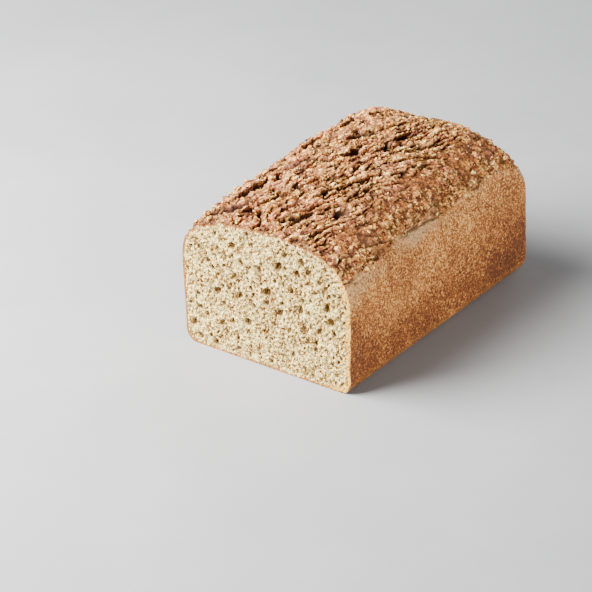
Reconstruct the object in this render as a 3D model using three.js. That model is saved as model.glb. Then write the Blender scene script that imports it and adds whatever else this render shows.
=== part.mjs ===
// Tin loaf: the larger piece of a loaf baked in a rectangular tin, with its first slices cut off.
//
// Millimetres, +Z up. The origin is on the resting surface, under the middle of the loaf.
// The long sides look along +X and -X, the cut face looks along -Y and the baked end along +Y.
// A loaf is baked as one piece, so it is one closed solid: a loft of sections along its length.

import * as THREE from 'three';

// What the tin shapes: straight walls, a flat bottom and rounded corners.
const TIN_WIDTH = 120;
const LENGTH = 178;
const TIN_LINE = 51.5;
const WALL_LEAN = 0.8;
const CORNER_RADIUS = 7.5;
const CORNER_LEFT_AT_END = 1.5;

// What rises above the tin: a crown, highest a little off the middle both ways.
const CROWN_RISE = 42.6;
const CROWN_PEAK_X = 5.5;
const CROWN_PEAK_ALONG = 119;
const CROWN_FALL = 0.183;
const CROWN_FALL_SPAN = 100;
const CROWN_END = 34;
const CROWN_END_OVERRUN = 0.1;
const CROWN_END_POWER = 2.55;
const SHOULDER_FULLNESS = 0.756;
const RIGHT_FULLNESS = 0.712;
const LEFT_FULLNESS = 0.795;

// The knife's cut: flat, and a few degrees off square.
const CUT_SLOPE_X = -0.043;
const CUT_SLOPE_Z = 0.043;
const CUT_LEVEL = 40;

// How finely the smooth shape is cut into facets.
const CURVE_STEPS = 10;
const BODY_STATIONS = 12;
const CROWN_STATIONS = 12;
const CORNER_STATIONS = 6;
const CLOSEST_STATIONS = 0.5;
const SAME_POINT = 0.001;

const CRUST = new THREE.MeshStandardMaterial({ color: 0xb37a4d, roughness: 0.85, metalness: 0 });

// Height of the crown above the tin line at a distance along the loaf from the cut.
function crownRise(along) {
  const fromPeak = (along - CROWN_PEAK_ALONG) / CROWN_FALL_SPAN;
  const arch = 1 - CROWN_FALL * fromPeak ** 2;
  const intoEnd = Math.max(0, (along - LENGTH + CROWN_END) / (CROWN_END + CROWN_END_OVERRUN));
  const endRoll = (1 - intoEnd ** CROWN_END_POWER) ** (1 / CROWN_END_POWER);
  return CROWN_RISE * arch * endRoll;
}

// How far the walls and the bottom have turned inwards, on the way into the end corners.
function cornerInset(along) {
  const intoCorner = Math.max(0, along - LENGTH + CORNER_RADIUS) / CORNER_RADIUS;
  return CORNER_RADIUS * (1 - Math.sqrt(1 - intoCorner ** 2));
}

// The outline across the loaf, counter-clockwise seen from the cut face: x across, y up.
function sectionOutline(along) {
  const inset = cornerInset(along);
  const radius = CORNER_RADIUS - inset * (1 - CORNER_LEFT_AT_END / CORNER_RADIUS);
  const wall = TIN_WIDTH / 2 - inset;
  const foot = wall - WALL_LEAN;
  const rise = crownRise(along);
  const top = TIN_LINE + rise;
  const shoulder = TIN_LINE + SHOULDER_FULLNESS * rise;
  const rightPull = CROWN_PEAK_X + RIGHT_FULLNESS * (wall - CROWN_PEAK_X);
  const leftPull = CROWN_PEAK_X - LEFT_FULLNESS * (wall + CROWN_PEAK_X);

  const outline = new THREE.Shape();
  outline.moveTo(-foot + radius, inset);
  outline.lineTo(foot - radius, inset);
  outline.absarc(foot - radius, inset + radius, radius, -Math.PI / 2, 0, false);
  outline.lineTo(wall, TIN_LINE);
  outline.bezierCurveTo(wall, shoulder, rightPull, top, CROWN_PEAK_X, top);
  outline.bezierCurveTo(leftPull, top, -wall, shoulder, -wall, TIN_LINE);
  outline.lineTo(-foot, inset + radius);
  outline.absarc(-foot + radius, inset + radius, radius, Math.PI, Math.PI * 1.5, false);

  const points = outline.getPoints(CURVE_STEPS);
  return points.filter((point, i) => point.distanceTo(points.at(i - 1)) > SAME_POINT);
}

// Distances along the loaf where a section is made: close together where the end turns over.
function stations() {
  const found = [];
  const addRun = (start, length, count, ease) => {
    for (let i = 0; i <= count; i += 1) found.push(start + length * ease(i / count));
  };
  const easeIn = (t) => Math.sin((t * Math.PI) / 2);
  addRun(0, LENGTH - CROWN_END, BODY_STATIONS, (t) => t);
  addRun(LENGTH - CROWN_END, CROWN_END, CROWN_STATIONS, easeIn);
  addRun(LENGTH - CORNER_RADIUS, CORNER_RADIUS, CORNER_STATIONS, easeIn);
  found.sort((a, b) => a - b);
  const spaced = found.filter((along, i) => i === 0 || along - found[i - 1] > CLOSEST_STATIONS);
  spaced[spaced.length - 1] = LENGTH;
  return spaced;
}

// One closed surface: a skin over the sections, the cut face and the flat of the baked end.
function loafGeometry() {
  const outlines = stations().map((along) => ({ along, points: sectionOutline(along) }));
  const around = outlines[0].points.length;
  const positions = [];
  for (const { along, points } of outlines) {
    for (const { x, y: up } of points) {
      const cut = along === 0 ? CUT_SLOPE_X * x + CUT_SLOPE_Z * (up - CUT_LEVEL) : 0;
      positions.push(x, along + cut, up);
    }
  }

  const triangles = [];
  for (let ring = 0; ring < outlines.length - 1; ring += 1) {
    for (let i = 0; i < around; i += 1) {
      const here = ring * around + i;
      const next = ring * around + ((i + 1) % around);
      triangles.push(here, next + around, next);
      triangles.push(here, here + around, next + around);
    }
  }
  const endRing = (outlines.length - 1) * around;
  for (const [a, b, c] of THREE.ShapeUtils.triangulateShape(outlines[0].points, [])) {
    triangles.push(a, b, c);
  }
  for (const [a, b, c] of THREE.ShapeUtils.triangulateShape(outlines.at(-1).points, [])) {
    triangles.push(endRing + a, endRing + c, endRing + b);
  }

  const geometry = new THREE.BufferGeometry();
  geometry.setAttribute('position', new THREE.Float32BufferAttribute(positions, 3));
  geometry.setIndex(triangles);
  geometry.computeBoundingBox();
  geometry.translate(0, -(geometry.boundingBox.min.y + geometry.boundingBox.max.y) / 2, 0);
  geometry.computeVertexNormals();
  return geometry;
}

const tinLoaf = new THREE.Mesh(loafGeometry(), CRUST);
tinLoaf.name = 'tin_loaf';

const part = new THREE.Group();
part.name = 'part';
part.add(tinLoaf);

export default part;
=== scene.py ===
# %% [markdown]
# # A cut tin loaf
#
# The object is the larger piece of a wholemeal loaf that was baked in a rectangular tin. The tin
# gives it straight golden walls. Above the tin the dough rose freely, so the crown is rounded,
# torn along its length and crusted with bran. A knife has taken the first slices, so one end
# shows the open crumb. The notebook loads the plain CAD solid as a frame and rebuilds its whole
# surface around it: first the shape, then the tears and pores, then the bran, then the colours.

# %% Load the frame
import itertools
import math

import bpy
import numpy as np
from mathutils import Matrix, Vector
from mathutils.geometry import delaunay_2d_cdt


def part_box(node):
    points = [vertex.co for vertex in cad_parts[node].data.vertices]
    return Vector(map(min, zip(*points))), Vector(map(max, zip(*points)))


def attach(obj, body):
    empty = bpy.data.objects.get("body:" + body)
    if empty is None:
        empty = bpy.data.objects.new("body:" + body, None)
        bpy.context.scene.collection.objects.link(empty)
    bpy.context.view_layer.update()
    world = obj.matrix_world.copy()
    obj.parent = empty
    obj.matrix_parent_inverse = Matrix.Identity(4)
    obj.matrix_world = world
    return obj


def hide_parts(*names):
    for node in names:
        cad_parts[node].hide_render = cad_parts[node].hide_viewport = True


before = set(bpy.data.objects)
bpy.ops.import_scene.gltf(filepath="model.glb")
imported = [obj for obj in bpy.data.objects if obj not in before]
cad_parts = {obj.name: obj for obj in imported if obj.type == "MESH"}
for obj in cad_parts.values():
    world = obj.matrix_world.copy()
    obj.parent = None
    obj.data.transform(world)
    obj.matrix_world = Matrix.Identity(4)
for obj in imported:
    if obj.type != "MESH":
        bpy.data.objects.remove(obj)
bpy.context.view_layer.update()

MM = 0.001
low, high = (np.array(corner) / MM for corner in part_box("tin_loaf"))
print("the loaf's box in mm:", low.round(1), high.round(1))

# %% [markdown]
# ## The camera, floor and light
#
# A loaf is looked at from a little above, as it stands on a table. A long lens keeps its long
# edges nearly parallel. The camera is placed by turning and tilting a viewing direction around
# a point on the table, which is easier to think about than an angle for each axis.

# %% Camera
VIEW_TURN, VIEW_RISE, VIEW_ROLL = (math.radians(angle) for angle in (37.9, 27.6, -3.15))
VIEW_DISTANCE = 1700 * MM
VIEW_LENS = 177.2
AIM = Vector((-37.1, -11.8, 0)) * MM


def looking_from(turn, rise):
    """The direction from the aim to something that stands on that side, that far up."""
    return Vector((math.sin(turn) * math.cos(rise), -math.cos(turn) * math.cos(rise), math.sin(rise)))


def facing(backwards, roll=0.0):
    """A rotation that looks against the given direction, with its top up."""
    level = Vector((0, 0, 1)).cross(backwards).normalized()
    upright = backwards.cross(level)
    right = math.cos(roll) * level + math.sin(roll) * upright
    top = math.cos(roll) * upright - math.sin(roll) * level
    return Matrix((right, top, backwards)).transposed().to_4x4()


def add_to_scene(name, data, placed=Matrix.Identity(4)):
    """A new object in the scene that shows the data."""
    made = bpy.data.objects.new(name, data)
    bpy.context.scene.collection.objects.link(made)
    made.matrix_world = placed
    return made


camera_data = bpy.data.cameras.new("camera")
camera_data.lens = VIEW_LENS
camera_data.clip_end = 20
seen_from = looking_from(VIEW_TURN, VIEW_RISE)
camera_stand = Matrix.Translation(AIM + seen_from * VIEW_DISTANCE) @ facing(seen_from, VIEW_ROLL)
camera = add_to_scene("camera", camera_data, camera_stand)
bpy.context.scene.camera = camera
print("camera at", [round(value, 2) for value in camera.location])

# %% [markdown]
# One large soft light stands to the left. It gives the crumb its shine and the loaf its soft
# shadow. A long, low one on the other side opens up the long wall, as a white card would, and a
# weak one keeps the baked end from going dark. The faint bluish room light fills the rest.

# %% Lights
LAMP_WHITE = (1.0, 0.985, 0.96)
ROOM_BLUE, ROOM_STRENGTH = (0.78, 0.88, 1.0), 0.13


def soft_light(name, turn, rise, distance, size, power):
    """A flat light that looks at the loaf: angles in degrees, sizes in metres, power in watts."""
    data = bpy.data.lights.new(name, "AREA")
    data.shape = "RECTANGLE"
    data.size, data.size_y = size
    data.energy = power
    data.color = LAMP_WHITE
    direction = looking_from(math.radians(turn), math.radians(rise))
    return add_to_scene(name, data, Matrix.Translation(direction * distance) @ facing(direction))


soft_light("window light", -52, 36, 0.85, (0.8, 0.8), 66)
soft_light("fill card", 80, 5.5, 1.8, (1.6, 0.36), 68)
soft_light("back card", 185, 10, 1.8, (1.6, 0.4), 20)
room = bpy.data.worlds.new("room")
room.use_nodes = True
room_light = room.node_tree.nodes["Background"].inputs
room_light["Color"].default_value = (*ROOM_BLUE, 1)
room_light["Strength"].default_value = ROOM_STRENGTH
bpy.context.scene.world = room
print("lights:", [light.name for light in bpy.data.lights])

# %% [markdown]
# ## A small language for finishes
#
# A finish in Blender is a graph of nodes. Written out node by node it is long and hard to read,
# so two short classes make it read like arithmetic. A Wire is one socket, and Python's own signs
# on it add Math nodes. A Finish makes every other node, in one method.

# %% Wires and finishes
class Wire:
    """A socket that carries a number, a vector or a colour through a finish."""

    def __init__(self, finish, socket):
        self.finish, self.socket = finish, socket

    def worked_out(self, operation, first, second):
        """The result of a Math node on two values."""
        return self.finish.node("Math", {"operation": operation}, {0: first, 1: second})

    def __add__(self, other):
        return self.worked_out("ADD", self, other)

    def __sub__(self, other):
        return self.worked_out("SUBTRACT", self, other)

    def __rsub__(self, other):
        return self.worked_out("SUBTRACT", other, self)

    def __mul__(self, other):
        return self.worked_out("MULTIPLY", self, other)

    __radd__, __rmul__ = __add__, __mul__


class Finish:
    """One material, with a method that adds any node to it."""

    def __init__(self, name):
        self.material = bpy.data.materials.new(name)
        self.material.use_nodes = True
        self.tree = self.material.node_tree
        self.shader = self.tree.nodes["Principled BSDF"]

    def node(self, kind, settings, values, output=None):
        """Adds a node, sets it up, feeds its sockets and gives back one of its outputs."""
        made = self.tree.nodes.new("ShaderNode" + kind)
        for name, setting in settings.items():
            if name == "stops":
                self.set_stops(made.color_ramp, setting)
            else:
                setattr(made, name, setting)
        for name, value in values.items():
            self.feed(self.found(made.inputs, name), value)
        return Wire(self, self.found(made.outputs, output))

    @staticmethod
    def found(sockets, name):
        """A socket by its place, by its name among those in use, or the first one in use."""
        if isinstance(name, int):
            return sockets[name]
        return next(socket for socket in sockets if socket.enabled and name in (None, socket.name))

    @staticmethod
    def set_stops(ramp, stops):
        """Gives a colour ramp its stops, each a place from 0 to 1 and a colour."""
        while len(ramp.elements) < len(stops):
            ramp.elements.new(0.5)
        for element, (place, colour) in zip(ramp.elements, stops):
            element.position, element.color = place, (*colour, 1)

    def feed(self, socket, value):
        """Links a wire to a socket, or sets the socket to a plain value."""
        if isinstance(value, Wire):
            self.tree.links.new(value.socket, socket)
        elif isinstance(value, tuple) and len(value) == 3 and socket.type == "RGBA":
            socket.default_value = (*value, 1)
        else:
            socket.default_value = value

    def set_shader(self, **values):
        """Feeds the main shader: Base_Color=..., Roughness=... and so on."""
        for name, value in values.items():
            self.feed(self.shader.inputs[name.replace("_", " ")], value)

    # The few nodes that every finish here needs, by plain names.

    def place(self):
        """Where a point lies on the object, in metres."""
        return self.node("TexCoord", {}, {}, "Object")

    def mark(self, name):
        """A number that was stored at each point of the mesh."""
        return self.node("Attribute", {"attribute_name": name}, {}, "Fac")

    def grain(self, size, where, detail=3.0, roughness=0.6, stretch=(1, 1, 1)):
        """Cloudy noise whose blotches are about size metres, from 0 to 1."""
        if stretch != (1, 1, 1):
            where = self.node("Mapping", {}, {"Vector": where, "Scale": stretch})
        values = {"Vector": where, "Scale": 1 / size, "Detail": detail, "Roughness": roughness}
        return self.node("TexNoise", {}, values, "Fac")

    def crumbs(self, size, where, output="Distance"):
        """Cells of about that size: the distance from each one's middle, or its own colour."""
        return self.node("TexVoronoi", {}, {"Vector": where, "Scale": 1 / size}, output)

    def step(self, value, start, end):
        """0 below start, 1 above end, and smooth between them."""
        values = {"Value": value, "From Min": start, "From Max": end}
        return self.node("MapRange", {"interpolation_type": "SMOOTHSTEP"}, values)

    def ramp(self, value, stops):
        """The colour that a list of stops gives to a number."""
        return self.node("ValToRGB", {"stops": stops}, {"Fac": value}, "Color")

    def blend(self, share, first, second):
        """The first colour where the share is 0, and the second where it is 1."""
        return self.node("Mix", {"data_type": "RGBA"}, {"Factor": share, "A": first, "B": second})

    def bump(self, height, depth):
        """Turns a height into a normal, as if a height of 1 stood that many metres proud."""
        return self.node("Bump", {}, {"Height": height, "Distance": depth})


# %% [markdown]
# ## The table
#
# The table is only a stage. It is a wide pale grey sheet with a faint cloudiness, so that the
# shadow has something quiet to fall on.

# %% Floor
FLOOR_REACH = 6.0
TABLE_GREY, TABLE_PALE = (0.305, 0.312, 0.32), (0.35, 0.357, 0.365)
floor_mesh = bpy.data.meshes.new("floor")
floor_sides = ((-1, -1), (1, -1), (1, 1), (-1, 1))
floor_corners = [(x * FLOOR_REACH, y * FLOOR_REACH, 0) for x, y in floor_sides]
floor_mesh.from_pydata(floor_corners, [], [(0, 1, 2, 3)])
floor = add_to_scene("floor", floor_mesh)
stone_grey = Finish("pale table")
cloudiness = stone_grey.grain(120 * MM, stone_grey.place(), detail=6.0)
table_colour = stone_grey.ramp(cloudiness, [(0.3, TABLE_GREY), (0.7, TABLE_PALE)])
stone_grey.set_shader(Base_Color=table_colour, Roughness=0.85)
floor_mesh.materials.append(stone_grey.material)
print("floor:", [round(side, 1) for side in floor.dimensions], "m")

# %% [markdown]
# ## Natural roughness from lattice noise
#
# Lumps, tears and browning all need smooth random fields. Lattice noise gives each corner of a
# grid its own random slope and blends between them. Blender's textures use the same kind of
# noise, but worked out here on arrays, it can move points and be stored on them.

# %% Noise on arrays
SLOPES = {}
SLOPE_COUNT = 256
# Large odd numbers, which scatter neighbouring corners of the grid over the list of slopes.
CORNER_FACTORS = np.array([73856093, 19349663, 83492791])
SEED_FACTOR, MIXING_FACTOR = 374761393, 1274126177


def lattice_noise(points, seed):
    """Smooth noise from about -1 to 1 at points in two or three directions, a swing per unit."""
    ways = points.shape[-1]
    if ways not in SLOPES:
        directions = np.random.default_rng(ways).normal(size=(SLOPE_COUNT, ways))
        SLOPES[ways] = directions / np.linalg.norm(directions, axis=1, keepdims=True)
    cell = np.floor(points).astype(np.int64)
    inside = points - cell
    ease = inside**3 * (inside * (inside * 6 - 15) + 10)
    total = np.zeros(points.shape[:-1])
    for steps in itertools.product((0, 1), repeat=ways):
        corner = np.array(steps)
        key = seed * SEED_FACTOR + ((cell + corner) * CORNER_FACTORS[:ways]).sum(-1)
        key = ((key ^ (key >> 13)) * MIXING_FACTOR) & 0xFFFFFFFF
        slope = SLOPES[ways][(key ^ (key >> 16)) % SLOPE_COUNT]
        weight = np.where(corner, ease, 1 - ease).prod(-1)
        total += weight * (slope * (inside - corner)).sum(-1)
    return total * 1.6


def cloudy_noise(points, seed, octaves=3):
    """Lattice noise with finer and weaker copies of itself on top."""
    layers = (lattice_noise(points * 2**octave, seed + octave) / 2**octave for octave in range(octaves))
    return sum(layers)


def smooth_step(value, start, end):
    """0 before start, 1 after end, and smooth between them. It also works downwards."""
    share = np.clip((value - start) / (end - start), 0, 1)
    return share * share * (3 - 2 * share)


sample = lattice_noise(np.random.default_rng(1).uniform(0, 50, (2000, 2)), 3)
print("noise runs from", sample.min().round(2), "to", sample.max().round(2))

# %% [markdown]
# ## The shape that the tin and the oven give
#
# The loaf is drawn as one section after another along its length, like the ribs of a boat. The
# floor and the walls are the tin's, with rounded corners. Above the tin line two curves meet at
# the crest. All points of one rib have the same order, so the ribs join into a skin of squares.
# From here on every length is in millimetres, until a mesh is built.

# %% Measures of the loaf
LENGTH = 178.0
TIN_LINE = 51.5
WALL_LEAN = 0.8
CORNER_RADIUS = 7.5
CORNER_LEFT_AT_END = 1.5
CROWN_RISE, CROWN_PEAK_X, CROWN_PEAK_ALONG = 42.6, 5.5, 119.0
CROWN_FALL, CROWN_FALL_SPAN = 0.183, 100.0
CROWN_END, CROWN_END_OVERRUN, CROWN_END_POWER = 34.0, 0.1, 2.55
SHOULDER_FULLNESS, RIGHT_FULLNESS, LEFT_FULLNESS = 0.756, 0.712, 0.795
CUT_SLOPE_X, CUT_SLOPE_Z, CUT_LEVEL, CUT_FADE = -0.043, 0.043, 40.0, 24.0
HALF_WIDTH = (high[0] - low[0]) / 2
CUT_AT = high[1] - LENGTH


def crown_rise(station):
    """Height of the crown above the tin line, that far along from the cut."""
    from_peak = (station - CROWN_PEAK_ALONG) / CROWN_FALL_SPAN
    into_end = np.clip((station - LENGTH + CROWN_END) / (CROWN_END + CROWN_END_OVERRUN), 0, 1)
    roll = (1 - into_end**CROWN_END_POWER) ** (1 / CROWN_END_POWER)
    return CROWN_RISE * (1 - CROWN_FALL * from_peak**2) * roll


def curve_through(share, start, pull, second_pull, end):
    """A cubic curve from start to end, drawn towards its two pulls on the way."""
    rest = 1 - share
    return rest**3 * start + 3 * rest**2 * share * pull + 3 * rest * share**2 * second_pull + share**3 * end


def even_shares(x, y, count):
    """Where to stop along a finely drawn line so that the steps come out equally long."""
    walked = np.concatenate([[0], np.cumsum(np.hypot(np.diff(x), np.diff(y)))])
    return np.interp(np.arange(count + 1) / count * walked[-1], walked, np.linspace(0, 1, len(x)))


print("crest height:", round(float(TIN_LINE + crown_rise(CROWN_PEAK_ALONG)), 1), "of", high[2].round(1))

# %% [markdown]
# The crown carries all the detail, so its points are less than a millimetre apart. The floor of
# the loaf is flat and needs few.

# %% The ribs
CROWN_STEP, WALL_STEP, FLOOR_STEP = 0.72, 1.6, 3.6
TRIAL_COUNT, TRIAL_STATION = 400, CROWN_PEAK_ALONG - 20
LENGTHWISE_COUNT = 4000


def ribs(stations, shares):
    """Across and height of every point, one row for each station."""
    into_corner = np.clip((stations - LENGTH + CORNER_RADIUS) / CORNER_RADIUS, 0, 1)[:, None]
    inset = CORNER_RADIUS * (1 - np.sqrt(1 - into_corner**2))
    radius = CORNER_RADIUS - inset * (1 - CORNER_LEFT_AT_END / CORNER_RADIUS)
    wall = HALF_WIDTH - inset
    foot = wall - WALL_LEAN
    rise = crown_rise(stations)[:, None]
    top, shoulder = TIN_LINE + rise, TIN_LINE + SHOULDER_FULLNESS * rise
    right_pull = CROWN_PEAK_X + RIGHT_FULLNESS * (wall - CROWN_PEAK_X)
    left_pull = CROWN_PEAK_X - LEFT_FULLNESS * (wall + CROWN_PEAK_X)
    turn = shares["corner"] * math.pi / 2
    up = shares["wall"]
    wall_height = inset + radius + (TIN_LINE - inset - radius) * up
    pieces = [
        (radius - foot + 2 * (foot - radius) * shares["floor"], inset + 0 * shares["floor"]),
        (foot - radius + radius * np.sin(turn), inset + radius - radius * np.cos(turn)),
        (foot + WALL_LEAN * up, wall_height),
        (
            curve_through(shares["right"], wall, wall, right_pull, CROWN_PEAK_X),
            curve_through(shares["right"], TIN_LINE, shoulder, top, top),
        ),
        (
            curve_through(shares["left"], CROWN_PEAK_X, left_pull, -wall, -wall),
            curve_through(shares["left"], top, top, shoulder, TIN_LINE),
        ),
        (-foot - WALL_LEAN * (1 - up), TIN_LINE - (TIN_LINE - inset - radius) * up),
        (radius - foot - radius * np.cos(turn), inset + radius - radius * np.sin(turn)),
    ]
    across = np.hstack([piece[0] for piece in pieces])
    height = np.hstack([piece[1] for piece in pieces])
    return across, height


def stops_of(count):
    """Equal shares that leave out the last one, where the next run starts."""
    return (np.arange(count) / count)[None, :]


# A finely drawn trial rib shows how many steps each side of the crown needs. Its runs come in
# the order in which ribs() joins them, so the crown's two sides are its fourth and fifth.
trial_shares = np.linspace(0, 1, TRIAL_COUNT)[None, :]
runs = {name: trial_shares for name in ("floor", "corner", "wall", "right", "left")}
trial_rib = [line[0] for line in ribs(np.array([TRIAL_STATION]), runs)]
for name, place in (("right", 3), ("left", 4)):
    x, z = (line[place * TRIAL_COUNT:(place + 1) * TRIAL_COUNT] for line in trial_rib)
    count = round(float(np.hypot(np.diff(x), np.diff(z)).sum()) / CROWN_STEP)
    runs[name] = even_shares(x, z, count)[None, :-1]
runs["floor"] = stops_of(round(2 * HALF_WIDTH / FLOOR_STEP))
runs["wall"] = stops_of(round(TIN_LINE / WALL_STEP))
runs["corner"] = stops_of(round(CORNER_RADIUS * math.pi / 2 / WALL_STEP))
along = np.linspace(0, LENGTH, LENGTHWISE_COUNT)
profile = TIN_LINE + crown_rise(along)
step_count = round(float(np.hypot(np.diff(along), np.diff(profile)).sum()) / CROWN_STEP)
along_shares = np.linspace(0, 1, LENGTHWISE_COUNT)
stations = np.interp(even_shares(along, profile, step_count), along_shares, along)
across, height = ribs(stations, runs)
print("skin of", across.shape[0], "ribs with", across.shape[1], "points each")

# %% [markdown]
# The knife went through a few degrees off square. The ribs near the cut lean the same way, and
# stand straight again some way in, so that none of them cross.

# %% The skin before its roughness
def cut_lean(across, height):
    """How far the cut face lies behind the first rib."""
    return CUT_SLOPE_X * across + CUT_SLOPE_Z * (height - CUT_LEVEL)


fade = np.clip(1 - stations / CUT_FADE, 0, 1)[:, None]
skin = np.stack([across, CUT_AT + stations[:, None] + fade * cut_lean(across, height), height], -1)


def skin_normals(skin):
    """Outward direction at every point of a closed ring of ribs."""
    around = np.roll(skin, -1, 1) - np.roll(skin, 1, 1)
    onward = np.gradient(skin, axis=0)
    outward = np.cross(onward, around)
    return outward / np.maximum(np.linalg.norm(outward, axis=-1, keepdims=True), 1e-9)


normals = skin_normals(skin)
edge = np.linalg.norm(np.roll(skin, -1, 1) - skin, axis=-1)[len(stations) // 2]
crest = int(np.argmax(height[len(stations) // 2]))
round_the_loaf = np.concatenate([[0], np.cumsum(edge)[:-1]])
sideways = np.broadcast_to(round_the_loaf[crest] - round_the_loaf, across.shape)
rib_gaps = np.hypot(np.diff(stations), np.diff(crown_rise(stations)))
over_the_crown = np.concatenate([[0], np.cumsum(rib_gaps)])
onward = np.broadcast_to(over_the_crown[:, None], across.shape)
print("the way round is", round_the_loaf[-1].round(), "mm, over the crown", over_the_crown[-1].round(), "mm")

# %% [markdown]
# ## The crown: lumps, wrinkles and tears
#
# In the oven the top dries first and the crumb goes on rising under it. The dry skin stretches
# into ropy lumps along the loaf and opens in tears. Noise whose sign is dropped is a good model
# for this: it gives rounded lumps with sharp creases between them. Where a second, slower noise
# allows it, a crease opens into a deep tear. The largest tears are listed one by one, each with a
# flap that curls up on its left. The noise is drawn in the directions in which the dough
# stretched: nearly lengthwise, and turned more to the right on the left flank.

# %% Lumps and creases
FLOW_TURN, FLOW_TURN_LEFT, MEAN_TURN = 20, 46, math.radians(28)
FLOW_DRIFT = 5.0
flow = np.stack([sideways, onward], -1)
drift = np.stack([cloudy_noise(flow / 26, 11), cloudy_noise(flow / 26, 12)], -1)
span = np.linspace(-130, 130, 521)
flow_turn = np.radians(FLOW_TURN + (FLOW_TURN_LEFT - FLOW_TURN) * smooth_step(span, -8, -40))
bent = np.cumsum(1 / np.tan(flow_turn)) * (span[1] - span[0])
flow_across = (np.interp(sideways, span, bent) - onward) * math.sin(MEAN_TURN) + FLOW_DRIFT * drift[..., 0]
flow_along = sideways * math.sin(MEAN_TURN) + onward * math.cos(MEAN_TURN) + FLOW_DRIFT * drift[..., 1]


def stretched(wide, long, seed, octaves=2):
    """Noise whose blotches are that wide across the flow and that long along it."""
    return cloudy_noise(np.stack([flow_across / wide, flow_along / long], -1), seed, octaves)


ropes = stretched(7.5, 23, 21)
wrinkles = stretched(3.4, 9, 31)
wrinkle_creases = smooth_step(np.abs(wrinkles), 0.14, 0.04)
flakiness = cloudy_noise(skin / 2.6, 41, 2)
blobs = cloudy_noise(flow / 10, 42, 2)
tear_line = TIN_LINE + 0.5 * crown_rise(stations)[:, None] + 1.8 * cloudy_noise(flow / 17, 51)
above_tear = height - tear_line
on_crown = smooth_step(above_tear, 0, 1.2)
open_crown = smooth_step(sideways + 4 * drift[..., 0], 44, 27) * smooth_step(sideways, -60, -52)
open_crown *= smooth_step(onward + 6 * drift[..., 1], 192, 160)
print("share of the skin that is crown:", on_crown.mean().round(2))

# %% Tears
# Each is: across from the crest, along from the cut, length, width, turn from lengthwise in
# degrees, and how far the flap on its left stands up.
LARGE_TEARS = [
    (-40, 13, 29, 4.4, 53, 3.2),
    (-50, 12, 19, 3.4, 40, 2.6),
    (-41, 39, 24, 4.6, 24, 3.0),
    (-45, 62, 18, 2.6, 14, 1.8),
    (-28, 74, 28, 2.4, 56, 1.4),
    (-17, 80, 12, 3.4, 40, 1.4),
    (-44, 98, 34, 3.4, -6, 2.2),
    (-39, 134, 22, 3.2, 10, 2.2),
    (-30, 153, 18, 2.8, 30, 1.6),
    (-9, 94, 13, 4.0, 0, 1.2),
    (6, 23, 17, 3.0, 36, 1.4),
    (3, 45, 10, 2.2, 10, 1.0),
    (-12, 52, 20, 2.0, 30, 1.2),
    (3, 110, 15, 2.4, -36, 1.0),
    (8, 129, 22, 2.2, 25, 1.2),
    (30, 115, 22, 1.8, 40, 0.8),
    (-22, 112, 20, 2.0, 22, 1.4),
    (14, 70, 16, 1.8, 24, 1.0),
    (-20, 30, 18, 2.0, 30, 1.4),
]
# Each is: along from the cut, and how far the crust's edge stands off there.
LIFTED_EDGES = [(2, 5), (75, 22), (130, 8)]


def tear_shape(sideways, onward, ragged):
    """How deep the listed tears are, from 0 to 1, and how far their flaps stand up."""
    deepest = np.zeros_like(sideways)
    curled = np.zeros_like(sideways)
    for over, ahead, length, width, turn, lift in LARGE_TEARS:
        angle = math.radians(turn)
        away = (sideways - over) * math.cos(angle) - (onward - ahead) * math.sin(angle)
        share = ((sideways - over) * math.sin(angle) + (onward - ahead) * math.cos(angle)) / (length / 2)
        taper = np.sqrt(np.clip(1 - share**2, 0, 1))
        away = away + 0.8 * ragged + 1.2 * share**2
        deep = smooth_step(np.abs(away), 0.8 * width * taper + 0.01, 0.32 * width * taper)
        deepest = np.maximum(deepest, deep)
        flap = lift * smooth_step(away, -0.5 * width - 4, -0.5 * width) * (away < 0) * taper
        curled = np.maximum(curled, flap)
    return deepest, curled * (1 - deepest)


ragged = cloudy_noise(flow / 5, 61, 3)
opening = smooth_step(cloudy_noise(flow / 20, 62, 2), -0.25, 0.3)
crease_tears = opening * smooth_step(np.abs(ropes), 0.17, 0.05)
small_opening = smooth_step(cloudy_noise(flow / 9, 63, 2), -0.2, 0.3)
small_tears = 0.75 * small_opening * wrinkle_creases
large_tears, curled = tear_shape(sideways, onward, ragged)
tears = np.maximum(large_tears, np.maximum(crease_tears, small_tears) * open_crown) * on_crown
tears *= 0.25 + 0.75 * smooth_step(onward, 0, 4)
lip = 0.4 * smooth_step(cloudy_noise(flow / 14, 64), -0.1, 0.35)
for ahead, reach in LIFTED_EDGES:
    lip = np.maximum(lip, np.exp(-(((onward - ahead) / reach) ** 4)))
edge_crack = lip * smooth_step(np.abs(above_tear + 0.3), 1.1, 0.2)
print("share of the crown that is torn:", (tears[on_crown > 0.5] > 0.4).mean().round(3))

# %% Places without bran
# Each is: along from the cut, across from the crest, and how far it reaches.
BARE_PATCHES = [
    (20, 37, 9), (30, 42, 7), (57, 37, 9),
    (67, 44, 7), (94, 40, 10), (88, 33, 7),
    (127, 42, 11), (141, 32, 9), (152, 44, 6),
]
bare = np.zeros_like(sideways)
for ahead, over, reach in BARE_PATCHES:
    gap = np.hypot(onward - ahead, sideways - over) / reach + 0.6 * ragged
    bare = np.maximum(bare, smooth_step(gap, 1.15, 0.6))
print("bare share of the crown:", bare[on_crown > 0.5].mean().round(3))

# %% [markdown]
# The walls pressed against the tin, so they are nearly flat. Just under the crown the dough was
# bare when it stretched, which leaves a pale, slightly hollow band. The lowest few millimetres
# stay exactly as drawn, so the loaf still rests flat. The open part of the crown has ridges, its
# shoulders have round mounds, and the patches without bran are smoother. Next to the large tears
# the roughness is evened out, so that their flaps stay whole. What stands up also leans over a
# little to the right, because torn crust curls as it dries.

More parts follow.
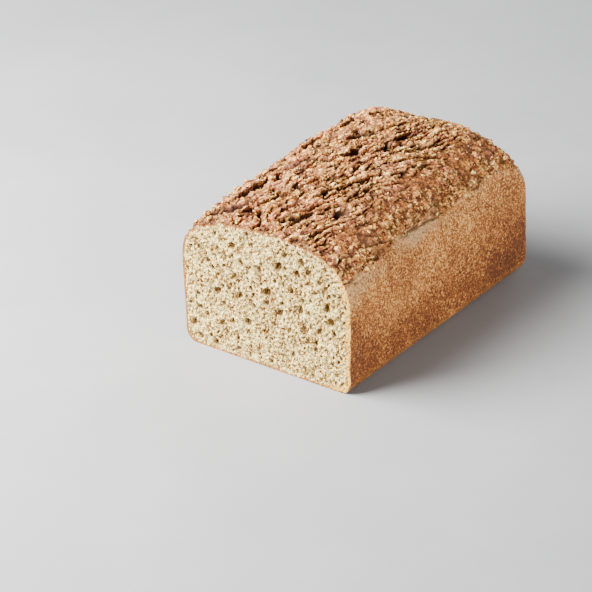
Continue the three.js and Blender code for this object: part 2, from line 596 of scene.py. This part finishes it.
# %% Move the skin
FLAP_LEAN = 0.5
ridges = 2.3 * (np.abs(ropes) - 0.28) + 1.2 * (np.abs(wrinkles) - 0.25)
mounds = 2.6 * (np.abs(blobs) - 0.3) + 0.4 * flakiness
lumps = open_crown * ridges + (1 - open_crown) * mounds
even = np.maximum(0.7 * bare, 0.6 * smooth_step(curled, 0.3, 1.5))
crown_height = lumps * (1 - 0.5 * bare) + 0.55 * flakiness * (1 - even) - 0.95
crown_height += curled - 3.4 * tears - 1.4 * large_tears
crown_height += 0.6 * cloudy_noise(flow / 30, 71)
near_cut = np.exp(-((onward / 30) ** 2))
midway = np.exp(-(((onward - 78) / 26) ** 2))
band_patches = 0.6 * cloudy_noise(flow / (14, 22), 74)
band_strength = np.clip(0.15 + 0.65 * near_cut + 0.8 * midway + band_patches, 0, 1)
band = smooth_step(above_tear, -11 - 9 * near_cut, -2) * (1 - on_crown) * band_strength
wall_height = 0.5 * lattice_noise(skin / 45, 72) + 0.12 * cloudy_noise(skin / 5, 73) - 0.5 * band
rough = on_crown * crown_height + (1 - on_crown) * wall_height - 1.5 * edge_crack
rough *= smooth_step(height, 1.0, 9.0)


def evened(field):
    """The field with every value drawn halfway towards its neighbours."""
    field = 0.5 * field + 0.25 * (np.roll(field, 1, 1) + np.roll(field, -1, 1))
    field[1:-1] = 0.5 * field[1:-1] + 0.25 * (field[2:] + field[:-2])
    return field


by_flaps = smooth_step(np.maximum(curled, 2 * large_tears), 0.1, 1.0)
rough += by_flaps * (evened(evened(rough)) - rough)
rightwards = np.roll(skin, 1, 1) - np.roll(skin, -1, 1)
rightwards /= np.linalg.norm(rightwards, axis=-1, keepdims=True)
overhang = FLAP_LEAN * on_crown * open_crown * np.clip(rough, -3, 4.5)
skin = skin + normals * rough[..., None] + rightwards * overhang[..., None]
skin[0, :, 1] = CUT_AT + cut_lean(skin[0, :, 0], skin[0, :, 2])
normals = skin_normals(skin)
print("the skin moves by", rough.min().round(2), "to", rough.max().round(2), "mm")

# %% [markdown]
# ## The cut face
#
# Bread crumb is a foam. A knife opens its bubbles, so the face is a flat sheet with round and
# oval pits of every size: many small ones, a few large. The pits that are wider than about a
# millimetre are cut into the mesh, and the finish draws the rest. Points are laid in a honeycomb
# with two extra rings round every pit, and a Delaunay triangulation joins them all up to the
# crust's edge. Pores are smaller near the floor, where the dough's own weight pressed on them.

# %% Pores
PORE_COUNT = 720
SMALLEST_PORE, LARGEST_PORE, PORE_RARENESS = 0.62, 2.9, -0.64
PORE_WALL, RIM_WALL = 0.3, 1.6
pore_chance = np.random.default_rng(7)


def inside_outline(points, outline):
    """Whether each point is inside a closed outline, by counting how often a ray crosses it."""
    ahead = np.roll(outline, -1, 0)
    x, z = points[:, 0, None], points[:, 1, None]
    spans = (outline[:, 1] > z) != (ahead[:, 1] > z)
    rise = np.where(ahead[:, 1] == outline[:, 1], 1, ahead[:, 1] - outline[:, 1])
    crossing = outline[:, 0] + (z - outline[:, 1]) / rise * (ahead[:, 0] - outline[:, 0])
    return ((spans & (x < crossing)).sum(1) % 2) == 1


def swelling(z):
    """How much larger or smaller the pores are at that height."""
    return 0.75 if z < 22 else 1.0 if z < 56 else 1.15


def scatter_pores(outline):
    """Middle, half-length, half-width and turn of pores that don't run into each other."""
    pores = []
    floor_edge, top_edge = outline[:, 1].min(), outline[:, 1].max()
    while len(pores) < PORE_COUNT:
        x = pore_chance.uniform(-HALF_WIDTH + 3, HALF_WIDTH - 3)
        z = pore_chance.uniform(floor_edge + 3, top_edge - 3)
        wide = SMALLEST_PORE * (1 - pore_chance.uniform()) ** PORE_RARENESS
        wide = min(wide, LARGEST_PORE) * swelling(z)
        long = wide * pore_chance.uniform(1.0, 1.5)
        apart = [math.hypot(x - other[0], z - other[1]) - other[2] - long for other in pores]
        from_edge = np.hypot(outline[:, 0] - x, outline[:, 1] - z).min()
        if min(apart, default=1) < PORE_WALL or from_edge < long + RIM_WALL:
            continue
        if inside_outline(np.array([[x, z]]), outline)[0]:
            pores.append((x, z, long, wide, pore_chance.normal(math.pi / 2, 0.7)))
    return np.array(pores)


rim = skin[0][:, [0, 2]]
pores = scatter_pores(rim)
print(len(pores), "pores, the largest", (2 * pores[:, 2].max()).round(1), "mm long")

# %% Points of the cut face
FACE_STEP = 0.56
PIT_RINGS = (0.72, 1.04)
PIT_RING_POINTS = 14
PIT_STEEPNESS, FAR_FROM_PORES = 1.3, 9.0


def honeycomb(outline, step):
    """Points inside an outline in staggered rows, clear of its edge."""
    rows = np.arange(outline[:, 1].min() + step, outline[:, 1].max(), step * math.sqrt(0.75))
    columns = np.arange(-HALF_WIDTH - 1, HALF_WIDTH + 1, step)
    points = np.array([(x + (i % 2) * step / 2, z) for i, z in enumerate(rows) for x in columns])
    points = points[inside_outline(points, outline)]
    gap = np.min([np.hypot(points[:, 0] - x, points[:, 1] - z) for x, z in outline], axis=0)
    return points[gap > 0.6 * step]


def pit_share(points):
    """How far each point is from a pore's middle, where 1 is its edge, and that pore's depth."""
    nearest = np.full(len(points), FAR_FROM_PORES)
    depth = np.zeros(len(points))
    wobble = 0.16 * lattice_noise(points / 0.9, 81)
    for x, z, long, wide, turn in pores:
        near = np.abs(points - (x, z)).max(1) < 1.6 * long
        over, up = (points[near] - (x, z)).T
        along_pore = (over * math.cos(turn) + up * math.sin(turn)) / long
        across_pore = (up * math.cos(turn) - over * math.sin(turn)) / wide
        share = np.hypot(along_pore, across_pore) + wobble[near]
        closer = share < nearest[near]
        nearest[near] = np.where(closer, share, nearest[near])
        depth[near] = np.where(closer, PIT_STEEPNESS * wide, depth[near])
    return nearest, depth


face = honeycomb(rim, FACE_STEP)
clear_of_rings = np.abs(pit_share(face)[0] - sum(PIT_RINGS) / 2) > 0.3
face = face[clear_of_rings]
ring_turn = np.arange(PIT_RING_POINTS) * 2 * math.pi / PIT_RING_POINTS
rings = []
for x, z, long, wide, turn in pores:
    for share in PIT_RINGS:
        out, over = share * long * np.cos(ring_turn), share * wide * np.sin(ring_turn)
        ring_x = x + out * math.cos(turn) - over * math.sin(turn)
        ring_z = z + out * math.sin(turn) + over * math.cos(turn)
        rings.append(np.stack([ring_x, ring_z], -1))
face = np.vstack([face, *rings])
print("points in the cut face:", len(face))

# %% Triangles of the cut face and the baked end
def fill_outline(outline, inner):
    """Triangles that join an outline and the points inside it, as places in that order."""
    flat = [Vector(point) for point in np.vstack([outline, inner])]
    made, _, triangles, origins, _, _ = delaunay_2d_cdt(flat, [], [list(range(len(outline)))], 1, 1e-6)
    back = [source[0] for source in origins]
    return np.array([[back[i] for i in triangle] for triangle in triangles]), len(made)


face_triangles, kept = fill_outline(rim, face)
print(len(face_triangles), "triangles,", len(rim) + len(face) - kept, "points merged")
end_outline = skin[-1][:, [0, 2]]
end_inner = honeycomb(end_outline, 2.0)
end_triangles, kept = fill_outline(end_outline, end_inner)
print(len(end_triangles), "triangles at the baked end")

# %% Depth of the cut face
nearest, pit_depth = pit_share(face)
from_rim = np.min([np.hypot(face[:, 0] - x, face[:, 1] - z) for x, z in rim], axis=0)
pit = np.sqrt(np.clip(1 - np.clip(nearest, 0, 1) ** 3, 0, 1))
crumbly = smooth_step(from_rim, 0.4, 2.5)
torn = 0.7 * cloudy_noise(face / 1.9, 91, 2) + 0.5 * lattice_noise(face / 4.6, 98)
torn += 0.3 * lattice_noise(face / 14, 92)
crowded = 0.45 * cloudy_noise(face / 9, 96, 2)
dimple = smooth_step(cloudy_noise(face / 2.2, 95, 2) + crowded, 0.4, 0.85)
dimple = np.maximum(dimple, smooth_step(cloudy_noise(face / 4.2, 97, 2) + crowded, 0.55, 0.85))
back_by = crumbly * (pit * pit_depth + (1 - pit) * 0.9 * dimple + torn)
face_points = np.stack([face[:, 0], CUT_AT + cut_lean(face[:, 0], face[:, 1]) + back_by, face[:, 1]], -1)
end_bulge = 0.5 * lattice_noise(end_inner / 30, 93) * smooth_step(end_inner[:, 1], 8, 20)
end_along = np.full(len(end_inner), skin[-1, 0, 1]) + end_bulge
end_points = np.stack([end_inner[:, 0], end_along, end_inner[:, 1]], -1)
print("deepest pore:", back_by.max().round(2), "mm")

# %% [markdown]
# ## One closed mesh
#
# The ribs, the cut face and the baked end become one closed body. Its faces carry one of two
# finishes, crust or crumb.

# %% Build the loaf
SHARP_ANGLE = 62
ring_count, around_count = skin.shape[:2]
index = np.arange(ring_count * around_count).reshape(ring_count, around_count)
next_round = np.roll(index, -1, 1)
squares = np.stack([index[:-1], index[1:], next_round[1:], next_round[:-1]], -1).reshape(-1, 4)
skin_size = index.size
face_index = np.concatenate([index[0], skin_size + np.arange(len(face))])
end_index = np.concatenate([index[-1], skin_size + len(face) + np.arange(len(end_inner))])
points = np.vstack([skin.reshape(-1, 3), face_points, end_points])


def wound(triangles, flat, forwards):
    """Triangles turned so that they all run the same way round."""
    first, second, third = (flat[triangles[:, i]] for i in range(3))
    one, other = (second - first).T, (third - first).T
    area = one[0] * other[1] - one[1] * other[0]
    turned = triangles.copy()
    wrong = (area > 0) != forwards
    turned[wrong] = triangles[wrong][:, ::-1]
    return turned


face_faces = face_index[wound(face_triangles, np.vstack([rim, face]), True)]
end_faces = end_index[wound(end_triangles, np.vstack([end_outline, end_inner]), False)]
loaf_mesh = bpy.data.meshes.new("tin_loaf_baked")
all_faces = squares.tolist() + face_faces.tolist() + end_faces.tolist()
loaf_mesh.from_pydata((points * MM).tolist(), [], all_faces)
loaf_mesh.validate()
loaf_mesh.polygons.foreach_set("use_smooth", [True] * len(loaf_mesh.polygons))
is_crumb = np.zeros(len(loaf_mesh.polygons), int)
is_crumb[len(squares):len(squares) + len(face_faces)] = 1
loaf_mesh.polygons.foreach_set("material_index", is_crumb.tolist())
loaf_mesh.set_sharp_from_angle(angle=math.radians(SHARP_ANGLE))
loaf = add_to_scene("tin_loaf_baked", loaf_mesh)
print(len(points), "points and", len(squares) * 2 + len(face_faces) + len(end_faces), "triangles")

# %% [markdown]
# The oven doesn't brown a loaf evenly. The walls are palest under the crown and darkest low down
# in some hot spots. The left wall is also painted darker than the right, as painted shade against
# the strong light on that side. The lower and the far corners stay ochre. The lower its number,
# the browner or more shaded a place is.

# %% Browning, and painted shade on the left wall
BROWNING_SPAN = 22
# Each is: along from the cut, height, and how far it reaches.
HOT_SPOTS = [(6, 16, 24), (150, 18, 26), (176, 25, 20)]
across_at, along_at, height_at = points.T
browning = cloudy_noise(points / BROWNING_SPAN, 101, 3)
for ahead, up, reach in HOT_SPOTS:
    heat = np.exp(-((along_at - CUT_AT - ahead) ** 2 + (height_at - up) ** 2) / reach**2)
    browning -= 1.4 * heat * (height_at < TIN_LINE + 20)
browning += 0.15 + 0.8 * smooth_step(height_at, 40, 62) - 1.5 * smooth_step(height_at, 36, 10)
# Painted shade: the left wall is darkened below the crown, against the strong light on that side.
browning -= 1.0 * smooth_step(across_at, -46, -58) * smooth_step(height_at, 66, 50)
corners = np.maximum(smooth_step(height, 9, 5), smooth_step(stations, LENGTH - 8, LENGTH - 3)[:, None])
corners = corners * smooth_step(height, TIN_LINE + 8, TIN_LINE - 8)
print("browning from", browning.min().round(2), "to", browning.max().round(2))

# %% [markdown]
# The finishes need to know such things at every place, so the mesh stores them as numbers at its
# points: how torn the crust is, which sets the painted shade in its tears and under its lifted
# edges, how bare or browned it is, with painted shade on the left wall, how much painted shade its
# hollows get, whether it is crown, shoulder, pale band or corner, and on the cut face how deep in a
# pit a place is, which sets its painted shade, and how far from the crust's edge it is.

# %% Numbers stored on the loaf
def store(mesh, name, values):
    """Keeps one number for each point of a mesh, for its finish to read."""
    kept = mesh.attributes.new(name, "FLOAT", "POINT")
    kept.data.foreach_set("value", np.asarray(values, np.float32).ravel())


def on_skin(values):
    """Numbers of the skin, with none on the cut face and the baked end."""
    return np.concatenate([np.asarray(values).ravel(), np.zeros(len(face) + len(end_inner))])


def on_face(values):
    """Numbers of the cut face, with none on the skin and the baked end."""
    return np.concatenate([np.zeros(skin_size), values, np.zeros(len(end_inner))])


# Painted shade: how dark the tears and the crack under the lifted edges are painted.
store(loaf_mesh, "tear", on_skin(np.clip(1.5 * tears + 0.7 * large_tears + 0.8 * edge_crack, 0, 1)))
store(loaf_mesh, "bare", on_skin(bare))
faded = smooth_step(above_tear + 3 * ragged, -6, 7)
store(loaf_mesh, "crown", on_skin(lip * on_crown + (1 - lip) * faded))
store(loaf_mesh, "band", on_skin(band))
# Painted shade for the crown's hollows and creases.
creased = open_crown * wrinkle_creases + (1 - open_crown) * smooth_step(np.abs(blobs), 0.2, 0.05)
hollow = np.maximum(smooth_step(lumps, 0.3, -0.7), 0.8 * creased)
hollow = np.maximum(hollow, 0.85 * smooth_step(flakiness, 0.0, -0.4))
store(loaf_mesh, "hollow", on_skin(hollow * on_crown))
skin_browning_and_shade = browning[:skin_size].reshape(height.shape)
shoulder = smooth_step(above_tear + 4 * skin_browning_and_shade, 17, 4) * on_crown
store(loaf_mesh, "shoulder", on_skin(shoulder))
store(loaf_mesh, "corner", on_skin(corners))
store(loaf_mesh, "browning", browning)
# Painted shade inside the pits of the cut face, stronger in deeper pits.
pit_shade = pit * smooth_step(pit_depth, 0.3, 1.9)
store(loaf_mesh, "pit", on_face(np.maximum(pit_shade, 0.55 * dimple) * crumbly))
bright_rim = smooth_step(face[:, 0], 35, 56)
store(loaf_mesh, "rim", on_face(from_rim / (0.8 + bright_rim - 0.3 * smooth_step(face[:, 1], 62, 76))))
store(loaf_mesh, "bright rim", on_face(bright_rim))
print("stored:", [attribute.name for attribute in loaf_mesh.attributes if not attribute.is_internal])

# %% [markdown]
# ## Bran on the crown
#
# The dough was rolled in coarse bran before it was baked. Each flake is a thin, uneven, closed
# chip about a millimetre and a half long, stuck down nearly flat. They are thrown at random, few
# in the tears and on some bald patches and many where the skin stands up, and joined into one
# mesh. A hair system could hold them too, but plain chips need no special finish or export.

# %% Where the flakes fall
FLAKE_COUNT = 24800
chance = np.random.default_rng(19)
corner_points = skin[:-1], skin[1:], np.roll(skin[1:], -1, 1), np.roll(skin[:-1], -1, 1)
diagonals = corner_points[2] - corner_points[0], corner_points[3] - corner_points[1]
square_area = 0.5 * np.linalg.norm(np.cross(*diagonals), axis=-1)
patchy = smooth_step(cloudy_noise(flow / 13, 111, 2), -0.55, 0.05)
raised = smooth_step(lumps + 0.5 * (1 - open_crown), -0.7, 0.4) * (1 - 0.95 * bare)
high_up = smooth_step(above_tear + 3 * ragged - 5 * lip, -8, 7)
out_of_tears = 1 - 0.97 * np.clip(tears * 1.8 + large_tears * 2.5, 0, 1)
wanted = high_up * out_of_tears * (0.15 + 0.85 * patchy) * (0.2 + 0.8 * raised)
wanted *= 0.06 + 0.94 * smooth_step(flakiness, -0.2, 0.2)
odds = (square_area * wanted[:-1]).ravel()
thrown = chance.choice(odds.size, FLAKE_COUNT, p=odds / odds.sum())
rib, before = np.divmod(thrown, around_count)
after = (before + 1) % around_count
share_on, share_round = chance.uniform(size=(2, FLAKE_COUNT, 1))


def on_square(field):
    """A field's value at each flake, blended from the four corners of its square."""
    near = field[rib, before] * (1 - share_round) + field[rib, after] * share_round
    far = field[rib + 1, before] * (1 - share_round) + field[rib + 1, after] * share_round
    return near * (1 - share_on) + far * share_on


print("bran lies on", (wanted > 0.05).mean().round(2), "of the skin")

# %% The shape of each flake
FLAKE_SIDES = 4
FLAKE_LENGTH, FLAKE_THICKNESS, FLAKE_TILT, FLAKE_CURL = 1.4, 0.45, 0.36, 0.14


def unit(vectors):
    """The same directions, each one long."""
    return vectors / np.linalg.norm(vectors, axis=-1, keepdims=True)


lie = unit(on_square(normals) + FLAKE_TILT * chance.normal(size=(FLAKE_COUNT, 3)))
middle = on_square(skin) + lie * chance.uniform(-0.05, 0.25, (FLAKE_COUNT, 1))
point_to = unit(np.cross(lie, chance.normal(size=(FLAKE_COUNT, 3))))
beside = np.cross(lie, point_to)
longer = 1.4 - 0.4 * on_square(open_crown[..., None])
length = FLAKE_LENGTH * chance.lognormal(0, 0.33, (FLAKE_COUNT, 1)) * longer
width = length * chance.uniform(0.45, 0.85, (FLAKE_COUNT, 1))
uneven = chance.uniform(-0.3, 0.3, (FLAKE_COUNT, FLAKE_SIDES))
turns = (np.arange(FLAKE_SIDES) + uneven) * 2 * math.pi / FLAKE_SIDES
reach = 0.5 * chance.uniform(0.7, 1.1, (FLAKE_COUNT, FLAKE_SIDES))
out = (reach * np.cos(turns) * length)[..., None] * point_to[:, None]
out = out + (reach * np.sin(turns) * width)[..., None] * beside[:, None]
curl = chance.normal(0, FLAKE_CURL, (FLAKE_COUNT, FLAKE_SIDES))[..., None] * lie[:, None]
thick = FLAKE_THICKNESS * chance.uniform(0.6, 1.3, (FLAKE_COUNT, 1)) * lie / 2
tops, undersides = (middle + thick)[:, None], (middle - thick)[:, None]
flakes = np.concatenate([middle[:, None] + out + curl, tops, undersides], 1)
print("a flake is about", np.median(length).round(2), "by", np.median(width).round(2), "mm")

# %% [markdown]
# A chip is two low pyramids on one uneven outline, base to base. Flakes lie lighter and darker
# in small clumps. On both flanks they are painted darker, as painted shade: the right flank turns
# away from the main light, and the left one is toned down against it.

# %% Build the bran
CLUMP_SPAN = 3.4
TOP, UNDER = FLAKE_SIDES, FLAKE_SIDES + 1
chip = [(TOP, i, (i + 1) % FLAKE_SIDES) for i in range(FLAKE_SIDES)]
chip += [(UNDER, (i + 1) % FLAKE_SIDES, i) for i in range(FLAKE_SIDES)]
firsts = np.arange(FLAKE_COUNT)[:, None, None] * (FLAKE_SIDES + 2)
bran_mesh = bpy.data.meshes.new("bran_topping")
chip_faces = (firsts + np.array(chip)).reshape(-1, 3)
bran_mesh.from_pydata((flakes.reshape(-1, 3) * MM).tolist(), [], chip_faces.tolist())
flank = on_square(sideways[..., None])[:, 0]
clumps = on_square(cloudy_noise(flow / CLUMP_SPAN, 113, 2)[..., None])[:, 0]
shades = chance.uniform(size=FLAKE_COUNT) + 0.1
# Painted shade: flakes on the right flank, which turns away from the light, and on the left flank, which
# faces it, are darker.
shades = shades - 0.3 * smooth_step(flank, 20, 34) - 0.15 * smooth_step(flank, -34, -50)
shades += 0.75 * clumps
store(bran_mesh, "shade", np.repeat(shades, FLAKE_SIDES + 2))
bran = add_to_scene("bran_topping", bran_mesh)
print(FLAKE_COUNT, "flakes with", len(bran_mesh.polygons), "triangles")

# %% [markdown]
# ## The crust
#
# Browning is what colours bread. Where the tin's wall was hottest the crust is a deep reddish
# brown, and where the dough tore late it is nearly as pale as the crumb. A fine speckle of meal
# runs through all five shades of the walls, and the left wall is made darker with painted shade.
# The crown is a mix of red, ochre and gold. Its hollows and tears are painted dark, as painted
# shade. An image could hold such a skin, but noise and the stored numbers fit any size of loaf.

# %% Crust finish
WALL_SHADES = [
    (0.0, (0.06, 0.013, 0.001)),
    (0.27, (0.13, 0.031, 0.0015)),
    (0.5, (0.225, 0.06, 0.006)),
    (0.74, (0.43, 0.165, 0.027)),
    (1.0, (0.70, 0.38, 0.115)),
]
CORNER_OCHRE = (0.37, 0.17, 0.029)
PALE_BAND = (0.46, 0.29, 0.13)
SHOULDER_TAN = (0.22, 0.075, 0.01)
CROWN_DARK = (0.05, 0.011, 0.0015)
CROWN_RED = (0.66, 0.20, 0.085)
CROWN_OCHRE = (0.62, 0.27, 0.06)
CROWN_GOLD = (0.98, 0.64, 0.22)
BARE_CRUST = (0.36, 0.105, 0.008)
TEAR_SHADE_COLOUR = (0.045, 0.011, 0.001)

crust = Finish("baked crust")
where = crust.place()
speckle = crust.grain(1.0 * MM, where, detail=2.6, roughness=0.7)
mottle = crust.grain(5 * MM, where, detail=5.0, roughness=0.7)
meal_cells = crust.crumbs(1.4 * MM, where, "Color")
meal = crust.node("SeparateColor", {}, {"Color": meal_cells}, "Red")
brown_and_shade = crust.mark("browning") * 0.14 + mottle * 0.7 + speckle * 3.1 + meal * 0.35 - 1.56
wall_colour = crust.ramp(brown_and_shade, WALL_SHADES)
ochre_share = crust.mark("corner") * crust.step(mottle + speckle, 0.8, 1.3) * 0.4
wall_colour = crust.blend(ochre_share, wall_colour, CORNER_OCHRE)
pale_share = crust.mark("band") * crust.step(mottle * 0.6 + speckle * 1.2, 0.55, 1.1)
wall_colour = crust.blend(pale_share, wall_colour, PALE_BAND)
ochre_patches = crust.grain(14 * MM, where, detail=2.0) + speckle * 0.5 - 0.25
hue = crust.blend(crust.step(ochre_patches, 0.42, 0.66), CROWN_RED, CROWN_OCHRE)
hue = crust.blend(crust.mark("shoulder") * 0.75, hue, SHOULDER_TAN)
hue = crust.blend(crust.mark("bare") * 0.9, hue, BARE_CRUST)
lightness = mottle * 0.7 + speckle * 1.8 + meal * 0.5 - 1.0
crown_colour = crust.blend(crust.step(lightness, 0.0, 0.55), CROWN_DARK, hue)
golden = crust.step(lightness, 0.55, 0.9) * (1 - crust.mark("bare") * 0.8)
crown_colour = crust.blend(golden * 0.85, crown_colour, CROWN_GOLD)
# Painted shade: the crown's hollows and creases are darkened.
crown_colour = crust.blend(crust.mark("hollow") * 0.85, crown_colour, CROWN_DARK)
crust_colour = crust.blend(crust.mark("crown"), wall_colour, crown_colour)
# Painted shade: tears and the crack under the lifted edges are painted nearly black.
crust_colour = crust.blend(crust.mark("tear"), crust_colour, TEAR_SHADE_COLOUR)
dust = crust.grain(0.6 * MM, where, detail=3.0, roughness=0.7)
crust_relief = crust.bump(dust + speckle + crust.crumbs(1.5 * MM, where) * 0.8, 0.8 * MM)
crust.set_shader(Base_Color=crust_colour, Roughness=0.72, Specular_IOR_Level=0.3, Normal=crust_relief)
loaf_mesh.materials.append(crust.material)
print("crust has", len(crust.tree.nodes), "nodes")

# %% [markdown]
# ## The crumb
#
# Wholemeal crumb is cream, flecked with bran. Its smallest bubbles are finer than the mesh, so
# they are drawn in the finish: two noises, stretched upwards as the dough rose, give the fibres
# and the small holes, and both the colour and the bump follow them. The small holes and the pits
# cut into the mesh are painted dark, as painted shade. Towards the edge the crumb turns into a
# thin golden rim of crust.

# %% Crumb finish
BRIGHT_CREAM = (0.97, 0.775, 0.335)
CREAM = (0.70, 0.495, 0.155)
WARM_CREAM = (0.32, 0.16, 0.034)
PORE_SHADE = (0.12, 0.047, 0.009)
FLECK = (0.07, 0.022, 0.006)
RIM_BROWN = (0.13, 0.033, 0.004)
RIM_TAN = (0.32, 0.13, 0.024)
RIM_GOLD = (0.78, 0.43, 0.07)
UPRIGHT = (1.3, 1.0, 0.75)

crumb = Finish("open crumb")
where = crumb.place()
cloud = crumb.grain(6 * MM, where, detail=4.0)
fibre = crumb.grain(0.95 * MM, where, detail=1.5, roughness=0.6, stretch=UPRIGHT)
holes = crumb.grain(2.4 * MM, where, detail=2.0, roughness=0.6, stretch=UPRIGHT)
texture = fibre * 3.6 + holes * 2.5 + cloud * 2.2 - 3.57
# The dark end of these tones is painted shade in the foam's small holes.
tones = [(0.0, PORE_SHADE), (0.25, WARM_CREAM), (0.5, CREAM), (0.85, BRIGHT_CREAM)]
crumb_colour = crumb.ramp(texture, tones)
# Painted shade: the small holes and the pits cut into the mesh are darkened.
small_pits = crumb.step(holes + cloud * 0.3, 0.74, 0.86)
crumb_colour = crumb.blend(small_pits * 0.6, crumb_colour, PORE_SHADE)
painted_pit_shade = crumb.step(crumb.mark("pit"), 0.15, 0.9)
crumb_colour = crumb.blend(painted_pit_shade * 0.8, crumb_colour, PORE_SHADE)
flecks = crumb.step(crumb.grain(1.6 * MM, where, detail=0.0), 0.69, 0.73)
crumb_colour = crumb.blend(flecks * 0.55, crumb_colour, FLECK)
off_crust = crumb.mark("rim") + (cloud - 0.5) * 2.4 + (fibre - 0.5) * 1.6
toasted_edge = crumb.blend(crumb.mark("bright rim"), RIM_TAN, RIM_GOLD)
rim_colour = crumb.blend(crumb.step(off_crust, 0.1, 0.8), RIM_BROWN, toasted_edge)
crumb_colour = crumb.blend(crumb.step(off_crust, 2.6, 1.4), crumb_colour, rim_colour)
crumb_relief = crumb.bump(fibre * 1.5 + holes * 0.6 - small_pits, 1.0 * MM)
crumb.set_shader(Base_Color=crumb_colour, Roughness=0.8, Specular_IOR_Level=0.25, Normal=crumb_relief)
loaf_mesh.materials.append(crumb.material)
print("crumb has", len(crumb.tree.nodes), "nodes")

# %% [markdown]
# ## The bran's finish
#
# Toasted bran runs from cream to brown, so every flake has a shade of its own.

# %% Bran finish
BRAN_SHADES = [
    (0.0, (0.06, 0.013, 0.003)),
    (0.28, (0.32, 0.095, 0.02)),
    (0.55, (0.56, 0.25, 0.05)),
    (0.85, (0.82, 0.48, 0.13)),
    (1.0, (0.95, 0.68, 0.27)),
]

toasted = Finish("toasted bran")
where = toasted.place()
toasting = toasted.mark("shade") + (toasted.grain(0.6 * MM, where) - 0.5) * 0.5
toasted.set_shader(
    Base_Color=toasted.ramp(toasting, BRAN_SHADES),
    Roughness=0.7,
    Specular_IOR_Level=0.2,
    Normal=toasted.bump(toasted.grain(0.4 * MM, where), 0.15 * MM),
)
bran_mesh.materials.append(toasted.material)
print("bran shades:", len(BRAN_SHADES))

# %% [markdown]
# ## The one body
#
# Both pieces belong to the one body of the loaf. The baked mesh takes the place of the plain CAD
# solid, which is hidden.

# %% Ride, and hide the plain solid
for piece in (loaf, bran):
    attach(piece, "root")
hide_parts("tin_loaf")
